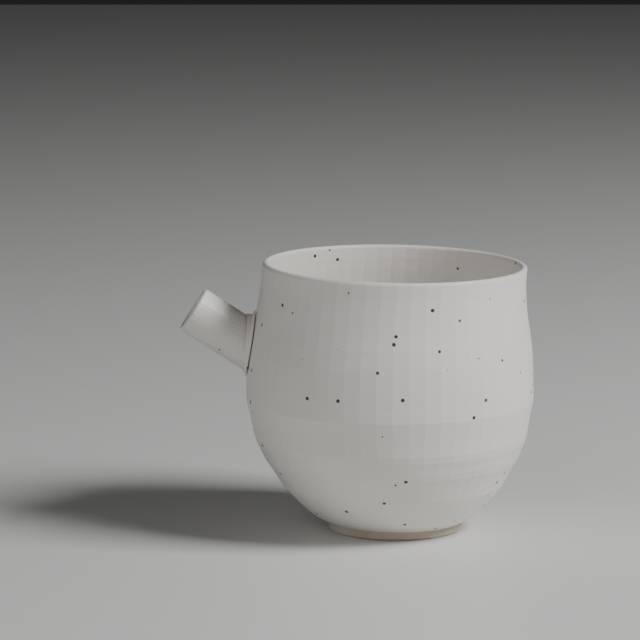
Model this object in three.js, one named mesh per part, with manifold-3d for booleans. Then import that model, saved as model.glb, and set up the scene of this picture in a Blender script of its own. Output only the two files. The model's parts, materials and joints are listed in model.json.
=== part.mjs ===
// A hand-thrown stoneware tea pitcher: a round bowl with a soft neck, a luted foot ring and a straight
// tubular spout joined to the wall with a coil of clay. Millimetres, +Z up, the spout pointing along -X.
import * as THREE from "three";
import { mergeVertices } from "three/addons/utils/BufferGeometryUtils.js";
import Module from "manifold-3d";

const wasm = await Module();
wasm.setup();

// Foot ring, turned from a coil and luted under the bowl.
const FOOT_RADIUS = 21;
const FOOT_WIDTH = 5;
const FOOT_HEIGHT = 3;
const FOOT_LAND = 1; // flat of the bowl left outside the ring
const FOOT_BEVEL = 0.6;

// Bowl: the outside from the foot to the rim, as radius and height above the table.
const HEIGHT = 84;
const BELLY_HEIGHT = 45;
const LIP = 2;
const WALL = 3;
const FLOOR = 4;
const OUTSIDE = [
  [FOOT_RADIUS + FOOT_LAND, FOOT_HEIGHT],
  [27, 6],
  [33, 12.5],
  [38.5, 21],
  [42.5, 30],
  [44.8, 43],
  [44.5, 56],
  [42.6, 67],
  [41.4, 77],
  [41.3, HEIGHT - LIP / 2],
];

// Spout: a tube whose axis leaves the wall at SPOUT_HEIGHT and rises outwards.
const SPOUT_RADIUS = 7.6;
const SPOUT_BORE = 5.5;
const SPOUT_LENGTH = 21;
const SPOUT_HEIGHT = 58;
const SPOUT_RISE = THREE.MathUtils.degToRad(33);
const MOUTH_BEVEL = 0.5;
const COIL_FILLET = 1.8; // radius of the hollow that the joining coil is smoothed to
const COIL_EDGE = 0.2; // thickness left at the coil's two smoothed-out edges
const SLIP_GAP = 0.3; // layer of slip between the luted pieces

// Marks of the hand: foot and rim sit a little off the belly's axis, one side of the rim is lower,
// and fingers left rings.
const LEAN = 2;
const RIM_DROP = 0.7;
const RINGS = [
  { height: 64, depth: 0.15, width: 2.2 },
  { height: 41.5, depth: 0.35, width: 2.6 },
  { height: 29.5, depth: 0.3, width: 2.4 },
  { height: 23, depth: 0.3, width: 2.2 },
  { height: 14.5, depth: 0.3, width: 2.2 },
];

const AROUND = 56; // facets round the bowl
const OUTSIDE_STEPS = 40;
const INSIDE_STEPS = 28;
const SPOUT_AROUND = 32;

const ringAt = (z) =>
  RINGS.reduce((sum, r) => sum + r.depth * Math.exp(-(((z - r.height) / r.width) ** 2)), 0);

// The outside of the bowl from the foot to the lip, smoothed, with the throwing rings on it.
function outerOutline(steps) {
  const curve = new THREE.SplineCurve(OUTSIDE.map(([r, z]) => new THREE.Vector2(r, z)));
  return curve.getSpacedPoints(steps).map((p, i) => new THREE.Vector2(i ? p.x + ringAt(p.y) : p.x, p.y));
}

// The inside, the wall's thickness in from the outside, running back from the lip to the axis.
function innerOutline(steps) {
  const outer = outerOutline(steps);
  const inner = outer.map((p, i) => {
    const before = outer[Math.max(i - 1, 0)];
    const after = outer[Math.min(i + 1, steps)];
    const along = after.clone().sub(before).normalize();
    const share = i / steps;
    const thickness = i < 3 ? FLOOR : THREE.MathUtils.lerp(WALL, LIP, share ** 3);
    return new THREE.Vector2(p.x - along.y * thickness, p.y + along.x * thickness);
  });
  const floor = FOOT_HEIGHT + FLOOR;
  return inner.filter((p) => p.y > floor + 0.8).reverse();
}

const leanAt = (z) => LEAN * (z / BELLY_HEIGHT - 1) ** 2;

// Moves a point of the round bowl to where the hand left it.
function handThrown(point) {
  const drop = RIM_DROP * (point.x / OUTSIDE.at(-1)[0]) * (point.z / HEIGHT) ** 6;
  return new THREE.Vector3(point.x + leanAt(point.z), point.y, point.z - drop);
}

function geometryOf(solid) {
  const mesh = solid.getMesh();
  const geometry = new THREE.BufferGeometry();
  const places = new Float32Array(mesh.numVert * 3);
  for (let i = 0; i < mesh.numVert; i++) {
    places.set(mesh.vertProperties.subarray(i * mesh.numProp, i * mesh.numProp + 3), i * 3);
  }
  geometry.setAttribute("position", new THREE.BufferAttribute(places, 3));
  geometry.setIndex(new THREE.BufferAttribute(new Uint32Array(mesh.triVerts), 1));
  return geometry;
}

function solidOf(geometry) {
  const bare = geometry.clone();
  bare.deleteAttribute("normal");
  bare.deleteAttribute("uv");
  const merged = mergeVertices(bare, 1e-4);
  const solid = new wasm.Manifold(
    new wasm.Mesh({
      numProp: 3,
      vertProperties: merged.attributes.position.array,
      triVerts: new Uint32Array(merged.index.array),
    }),
  );
  return solid;
}

// A lathe round the Z axis; three.js turns its profile round Y, so it is stood up here.
function turned(profile, segments) {
  return new THREE.LatheGeometry(profile, segments).rotateX(Math.PI / 2);
}

function deformed(geometry) {
  const places = geometry.attributes.position;
  for (let i = 0; i < places.count; i++) {
    const moved = handThrown(new THREE.Vector3().fromBufferAttribute(places, i));
    places.setXYZ(i, moved.x, moved.y, moved.z);
  }
  return geometry;
}

// The spout's own frame: its axis leaves the leaning wall at SPOUT_HEIGHT.
const outline = outerOutline(OUTSIDE_STEPS);
function outerRadiusAt(z) {
  const i = outline.findIndex((p) => p.y >= z);
  const low = outline[i - 1];
  const high = outline[i];
  return THREE.MathUtils.lerp(low.x, high.x, (z - low.y) / (high.y - low.y));
}
const spoutAxis = new THREE.Vector3(-Math.cos(SPOUT_RISE), 0, Math.sin(SPOUT_RISE));
const spoutRoot = handThrown(new THREE.Vector3(-outerRadiusAt(SPOUT_HEIGHT), 0, SPOUT_HEIGHT));
const spoutSide = new THREE.Vector3(0, 1, 0);
const spoutUp = new THREE.Vector3().crossVectors(spoutSide, spoutAxis);

// A point at a distance along the spout, a radius and an angle round its axis.
function spoutPoint(along, radius, angle) {
  return spoutRoot
    .clone()
    .addScaledVector(spoutAxis, along)
    .addScaledVector(spoutSide, radius * Math.cos(angle))
    .addScaledVector(spoutUp, radius * Math.sin(angle));
}

// How far a point near the spout lies outside the bowl, measured in the plane of its profile.
function outsideBowl(point) {
  const lean = leanAt(point.z);
  const flat = new THREE.Vector2(Math.hypot(point.x - lean, point.y), point.z);
  let least = Infinity;
  let side = 1;
  for (let i = 1; i < outline.length; i++) {
    const a = outline[i - 1];
    const edge = outline[i].clone().sub(a);
    const reach = flat.clone().sub(a);
    const share = THREE.MathUtils.clamp(reach.dot(edge) / edge.lengthSq(), 0, 1);
    const gap = reach.clone().addScaledVector(edge, -share);
    if (gap.length() < least) {
      least = gap.length();
      side = edge.y * reach.x - edge.x * reach.y > 0 ? 1 : -1;
    }
  }
  return least * side;
}

// Where a line beside the spout's axis reaches a given distance outside the bowl.
function seatAlong(radius, angle, distance) {
  let low = -14;
  let high = SPOUT_LENGTH;
  for (let i = 0; i < 40; i++) {
    const middle = (low + high) / 2;
    if (outsideBowl(spoutPoint(middle, radius, angle)) < distance) low = middle;
    else high = middle;
  }
  return (low + high) / 2;
}

// A closed ring of sections round the spout's axis; each section is a loop of [along, radius].
function sectionRing(sectionAt, count) {
  const places = [];
  const faces = [];
  const sections = Array.from({ length: count }, (_, i) => sectionAt((i / count) * 2 * Math.PI));
  const size = sections[0].length;
  sections.forEach((section, i) =>
    section.forEach(([along, radius]) => {
      places.push(...spoutPoint(along, radius, (i / count) * 2 * Math.PI).toArray());
    }),
  );
  for (let i = 0; i < count; i++) {
    for (let j = 0; j < size; j++) {
      const a = i * size + j;
      const b = i * size + ((j + 1) % size);
      const c = ((i + 1) % count) * size + ((j + 1) % size);
      const d = ((i + 1) % count) * size + j;
      faces.push(a, b, c, a, c, d);
    }
  }
  const geometry = new THREE.BufferGeometry();
  geometry.setAttribute("position", new THREE.Float32BufferAttribute(places, 3));
  geometry.setIndex(faces);
  return geometry;
}

function spoutBore() {
  const bore = new THREE.CylinderGeometry(SPOUT_BORE, SPOUT_BORE, 3 * SPOUT_LENGTH, SPOUT_AROUND);
  const turn = new THREE.Quaternion().setFromUnitVectors(new THREE.Vector3(0, 1, 0), spoutAxis);
  bore.applyQuaternion(turn);
  bore.translate(...spoutRoot.clone().addScaledVector(spoutAxis, SPOUT_LENGTH).toArray());
  return solidOf(bore);
}

// Thrown bowl: one wall from the floor to a rounded lip, pierced where the spout pours from it.
function makeBowl() {
  const outer = outline;
  const inner = innerOutline(INSIDE_STEPS);
  const lipMiddle = outer.at(-1).clone().add(inner[0]).multiplyScalar(0.5);
  const lipRadius = outer.at(-1).distanceTo(inner[0]) / 2;
  const lip = [30, 60, 90, 120, 150].map((degrees) => {
    const angle = THREE.MathUtils.degToRad(degrees);
    return new THREE.Vector2(
      lipMiddle.x + lipRadius * Math.cos(angle),
      lipMiddle.y + lipRadius * Math.sin(angle),
    );
  });
  const underside = new THREE.Vector2(0, FOOT_HEIGHT);
  const floor = new THREE.Vector2(0, FOOT_HEIGHT + FLOOR);
  const profile = [underside, ...outer, ...lip, ...inner, floor];
  const bowl = solidOf(deformed(turned(profile, AROUND)));
  return geometryOf(bowl.subtract(spoutBore()));
}

function makeFootRing() {
  const inner = FOOT_RADIUS - FOOT_WIDTH;
  const profile = [
    new THREE.Vector2(inner, FOOT_HEIGHT),
    new THREE.Vector2(inner, FOOT_BEVEL),
    new THREE.Vector2(inner + FOOT_BEVEL, 0),
    new THREE.Vector2(FOOT_RADIUS - FOOT_BEVEL, 0),
    new THREE.Vector2(FOOT_RADIUS, FOOT_BEVEL),
    new THREE.Vector2(FOOT_RADIUS, FOOT_HEIGHT),
    new THREE.Vector2(inner, FOOT_HEIGHT),
  ];
  return turned(profile, AROUND).translate(leanAt(FOOT_HEIGHT), 0, 0);
}

// Spout tube: square at the mouth, saddle-cut at the root to sit against the bowl.
function makeSpoutTube() {
  return sectionRing((angle) => {
    const outerSeat = seatAlong(SPOUT_RADIUS, angle, SLIP_GAP);
    const innerSeat = seatAlong(SPOUT_BORE, angle, SLIP_GAP);
    return [
      [innerSeat, SPOUT_BORE],
      [outerSeat, SPOUT_RADIUS],
      [SPOUT_LENGTH - MOUTH_BEVEL, SPOUT_RADIUS],
      [SPOUT_LENGTH, SPOUT_RADIUS - MOUTH_BEVEL],
      [SPOUT_LENGTH, SPOUT_BORE + MOUTH_BEVEL],
      [SPOUT_LENGTH - MOUTH_BEVEL, SPOUT_BORE],
    ];
  }, SPOUT_AROUND);
}

// Joining coil: clay pressed into the corner between tube and bowl and smoothed with a round tool, whose
// middle keeps the same distance from both.
function makeJoiningCoil() {
  const tubeFace = SPOUT_RADIUS + SLIP_GAP;
  const step = 0.01;
  return sectionRing((angle) => {
    const toolRadius = tubeFace + COIL_FILLET;
    const toolAlong = seatAlong(toolRadius, angle, SLIP_GAP + COIL_FILLET);
    const here = outsideBowl(spoutPoint(toolAlong, toolRadius, angle));
    const away = new THREE.Vector2(
      outsideBowl(spoutPoint(toolAlong + step, toolRadius, angle)) - here,
      outsideBowl(spoutPoint(toolAlong, toolRadius + step, angle)) - here,
    ).normalize();
    const tool = new THREE.Vector2(toolAlong, toolRadius);
    const seat = tool.clone().addScaledVector(away, -COIL_FILLET);
    const inwards = away.clone().negate().add(new THREE.Vector2(0, -1)).normalize();
    const hollow = tool.clone().addScaledVector(inwards, COIL_FILLET);
    return [
      [seatAlong(tubeFace, angle, SLIP_GAP), tubeFace],
      seat.toArray(),
      seat.clone().addScaledVector(away, COIL_EDGE).toArray(),
      hollow.toArray(),
      [toolAlong, tubeFace + COIL_EDGE],
      [toolAlong, tubeFace],
    ];
  }, SPOUT_AROUND);
}

const glaze = new THREE.MeshStandardMaterial({ color: 0xe4e0d6, roughness: 0.42, metalness: 0 });
const bareClay = new THREE.MeshStandardMaterial({ color: 0xcdbfa8, roughness: 0.9, metalness: 0 });

const pitcher = new THREE.Group();
function add(name, geometry, material) {
  const mesh = new THREE.Mesh(geometry, material);
  mesh.name = name;
  pitcher.add(mesh);
}
add("bowl", makeBowl(), glaze);
add("foot_ring", makeFootRing(), bareClay);
add("spout_tube", makeSpoutTube(), glaze);
add("joining_coil", makeJoiningCoil(), glaze);

// The origin lies on the table under the middle of the whole pitcher, spout included.
const reach = new THREE.Box3().setFromObject(pitcher);
pitcher.position.x = -(reach.min.x + reach.max.x) / 2;
pitcher.position.y = -(reach.min.y + reach.max.y) / 2;

const part = new THREE.Group();
part.add(pitcher);
export default part;
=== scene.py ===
import json
import math
import bpy
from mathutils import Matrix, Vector


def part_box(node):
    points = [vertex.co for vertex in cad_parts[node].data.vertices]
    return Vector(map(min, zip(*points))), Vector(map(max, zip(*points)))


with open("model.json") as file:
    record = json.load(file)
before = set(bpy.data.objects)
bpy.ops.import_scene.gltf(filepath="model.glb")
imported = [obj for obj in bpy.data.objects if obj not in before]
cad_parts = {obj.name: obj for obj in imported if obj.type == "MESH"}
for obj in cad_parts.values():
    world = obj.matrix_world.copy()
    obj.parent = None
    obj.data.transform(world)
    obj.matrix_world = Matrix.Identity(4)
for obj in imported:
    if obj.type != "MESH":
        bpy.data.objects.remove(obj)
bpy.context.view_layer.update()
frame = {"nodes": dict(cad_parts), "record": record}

# Metres. The spout points along -X.
bowl_low, bowl_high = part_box("bowl")
bowl_height = bowl_high.z
bowl_middle_x = bowl_high.x - (bowl_high.y - bowl_low.y) / 2

CAMERA_DISTANCE = 1.2
CAMERA_DROP = math.radians(9.4)
CAMERA_LENS = 216
AIM_HEIGHT = 0.78 * bowl_height
CAMERA_SIDE = -0.0219  # the pot stands right of the picture's middle

SPECK_SIZE = 0.006  # mean distance between iron specks
SPECK_RADIUS = 0.1  # as a share of that distance
MOTTLE_SIZE = 0.02
GRAIN_SIZE = 0.0012
GLAZE = (0.83, 0.81, 0.77, 1)
GLAZE_WARM = (0.80, 0.76, 0.71, 1)
IRON = (0.07, 0.045, 0.03, 1)
CLAY = (0.72, 0.64, 0.54, 1)
CLAY_DARK = (0.52, 0.43, 0.34, 1)
FLOOR_COLOUR = (0.75, 0.75, 0.74, 1)
FLOOR_SIZE = 4


def mixed(tree, factor, low, high):
    mix = tree.nodes.new("ShaderNodeMix")
    mix.data_type = "RGBA"
    for socket, value in (("A", low), ("B", high)):
        target = [s for s in mix.inputs if s.name == socket and s.type == "RGBA"][0]
        if isinstance(value, tuple):
            target.default_value = value
        else:
            tree.links.new(value, target)
    tree.links.new(factor, mix.inputs["Factor"])
    return [s for s in mix.outputs if s.type == "RGBA"][0]


def noise(tree, place, size, detail=3.0):
    made = tree.nodes.new("ShaderNodeTexNoise")
    made.inputs["Scale"].default_value = 1 / size
    made.inputs["Detail"].default_value = detail
    tree.links.new(place, made.inputs["Vector"])
    return made.outputs["Fac"]


def material(name, roughness, bump):
    made = bpy.data.materials.new(name)
    made.use_nodes = True
    tree = made.node_tree
    shader = tree.nodes["Principled BSDF"]
    shader.inputs["Roughness"].default_value = roughness
    place = tree.nodes.new("ShaderNodeTexCoord").outputs["Object"]
    grain = tree.nodes.new("ShaderNodeBump")
    grain.inputs["Strength"].default_value = bump
    grain.inputs["Distance"].default_value = GRAIN_SIZE / 4
    tree.links.new(noise(tree, place, GRAIN_SIZE), grain.inputs["Height"])
    tree.links.new(grain.outputs["Normal"], shader.inputs["Normal"])
    return made, tree, shader, place


def speckled_glaze():
    made, tree, shader, place = material("speckled_glaze", 0.42, 0.15)
    cells = tree.nodes.new("ShaderNodeTexVoronoi")
    cells.inputs["Scale"].default_value = 1 / SPECK_SIZE
    tree.links.new(place, cells.inputs["Vector"])
    speck = tree.nodes.new("ShaderNodeMath")
    speck.operation = "LESS_THAN"
    speck.inputs[1].default_value = SPECK_RADIUS
    tree.links.new(cells.outputs["Distance"], speck.inputs[0])
    ground = mixed(tree, noise(tree, place, MOTTLE_SIZE), GLAZE, GLAZE_WARM)
    colour = mixed(tree, speck.outputs["Value"], ground, IRON)
    tree.links.new(colour, shader.inputs["Base Color"])
    return made


def bare_clay():
    made, tree, shader, place = material("bare_clay", 0.9, 0.5)
    colour = mixed(tree, noise(tree, place, MOTTLE_SIZE / 4), CLAY, CLAY_DARK)
    tree.links.new(colour, shader.inputs["Base Color"])
    return made


finish = {"speckled_glaze": speckled_glaze(), "bare_clay": bare_clay()}
slot_of = {row["node"]: row["material_slot"] for row in frame["record"]["subparts"]}
for name, node in frame["nodes"].items():
    node.data.materials.clear()
    node.data.materials.append(finish[slot_of[name]])


def make_floor():
    bpy.ops.mesh.primitive_plane_add(size=FLOOR_SIZE)
    floor = bpy.context.object
    floor.name = "floor"
    made = bpy.data.materials.new("floor")
    made.use_nodes = True
    made.node_tree.nodes["Principled BSDF"].inputs["Base Color"].default_value = FLOOR_COLOUR
    floor.data.materials.append(made)


def make_light(name, place, size, watts):
    data = bpy.data.lights.new(name, "AREA")
    data.size = size
    data.energy = watts
    light = bpy.data.objects.new(name, data)
    bpy.context.scene.collection.objects.link(light)
    light.location = place
    aim = Vector((0, 0, bowl_height / 2)) - Vector(place)
    light.rotation_euler = aim.to_track_quat("-Z", "Y").to_euler()


def make_camera():
    data = bpy.data.cameras.new("camera")
    data.lens = CAMERA_LENS
    camera = bpy.data.objects.new("camera", data)
    bpy.context.scene.collection.objects.link(camera)
    back = CAMERA_DISTANCE * math.cos(CAMERA_DROP)
    rise = CAMERA_DISTANCE * math.sin(CAMERA_DROP)
    camera.location = (bowl_middle_x + CAMERA_SIDE, -back, AIM_HEIGHT + rise)
    camera.rotation_euler = (math.pi / 2 - CAMERA_DROP, 0, 0)
    bpy.context.scene.camera = camera


make_floor()
make_light("key", (0.9, -0.35, 0.9), 0.5, 18)
make_light("fill", (-0.8, -0.8, 0.6), 1.2, 4)
make_camera()

world = bpy.data.worlds.new("studio")
world.use_nodes = True
world.node_tree.nodes["Background"].inputs["Strength"].default_value = 0.35
bpy.context.scene.world = world
